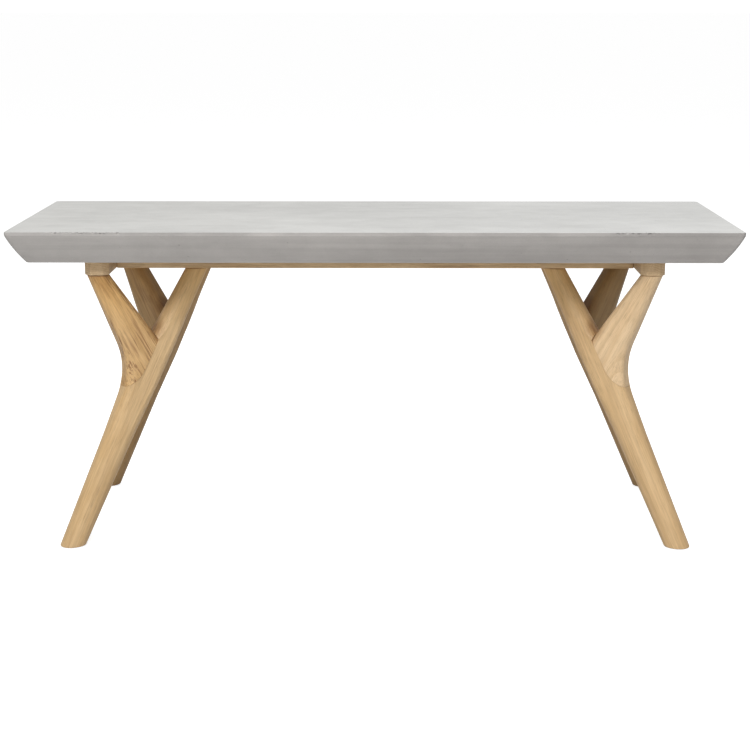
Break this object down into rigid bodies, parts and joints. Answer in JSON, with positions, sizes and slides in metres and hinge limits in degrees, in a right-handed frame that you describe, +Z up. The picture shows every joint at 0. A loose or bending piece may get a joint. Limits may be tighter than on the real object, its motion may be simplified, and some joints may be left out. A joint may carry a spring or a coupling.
{
  "type": "garden bench",
  "caption": "Backless garden bench with a concrete slab seat with undercut edges on splayed Y-shaped hardwood legs under a hardwood frame.",
  "frame": {"origin": "on the floor, under the middle of the bench", "axes": "+X along the bench to the right seen from the front, +Y from front to rear, +Z up"},
  "size_m": [1, 0.385, 0.45],
  "materials": {
    "concrete": "light grey cast concrete, trowelled and sealed, matt, cloudy, with pinholes along the edges",
    "hardwood": "pale golden hardwood, sanded smooth, clear satin oil, grain along each limb",
    "dowel_wood": "plain beech dowel, unfinished",
    "zinc_steel": "bright zinc plated steel",
    "insert_brass": "turned brass",
    "glide_plastic": "black moulded plastic"
  },
  "bodies": {
    "root": {"slab": "concrete", "crossbar_left": "hardwood", "crossbar_right": "hardwood", "rail_front": "hardwood", "rail_rear": "hardwood", "leg_post_front_left": "hardwood", "leg_post_front_right": "hardwood", "leg_post_rear_left": "hardwood", "leg_post_rear_right": "hardwood", "leg_branch_front_left": "hardwood", "leg_branch_front_right": "hardwood", "leg_branch_rear_left": "hardwood", "leg_branch_rear_right": "hardwood", "leg_glide_front_left": "glide_plastic", "leg_glide_front_right": "glide_plastic", "leg_glide_rear_left": "glide_plastic", "leg_glide_rear_right": "glide_plastic", "post_screw_front_left": "zinc_steel", "post_screw_front_right": "zinc_steel", "post_screw_rear_left": "zinc_steel", "post_screw_rear_right": "zinc_steel", "branch_dowel_front_left": "dowel_wood", "branch_dowel_front_right": "dowel_wood", "branch_dowel_rear_left": "dowel_wood", "branch_dowel_rear_right": "dowel_wood", "fork_dowel_upper_front_left": "dowel_wood", "fork_dowel_upper_front_right": "dowel_wood", "fork_dowel_upper_rear_left": "dowel_wood", "fork_dowel_upper_rear_right": "dowel_wood", "fork_dowel_lower_front_left": "dowel_wood", "fork_dowel_lower_front_right": "dowel_wood", "fork_dowel_lower_rear_left": "dowel_wood", "fork_dowel_lower_rear_right": "dowel_wood", "rail_dowel_a_front_left": "dowel_wood", "rail_dowel_a_front_right": "dowel_wood", "rail_dowel_a_rear_left": "dowel_wood", "rail_dowel_a_rear_right": "dowel_wood", "rail_dowel_b_front_left": "dowel_wood", "rail_dowel_b_front_right": "dowel_wood", "rail_dowel_b_rear_left": "dowel_wood", "rail_dowel_b_rear_right": "dowel_wood", "slab_bolt_front_left": "zinc_steel", "slab_bolt_front_right": "zinc_steel", "slab_bolt_rear_left": "zinc_steel", "slab_bolt_rear_right": "zinc_steel", "slab_washer_front_left": "zinc_steel", "slab_washer_front_right": "zinc_steel", "slab_washer_rear_left": "zinc_steel", "slab_washer_rear_right": "zinc_steel", "slab_insert_front_left": "insert_brass", "slab_insert_front_right": "insert_brass", "slab_insert_rear_left": "insert_brass", "slab_insert_rear_right": "insert_brass"}
  },
  "joints": []
}
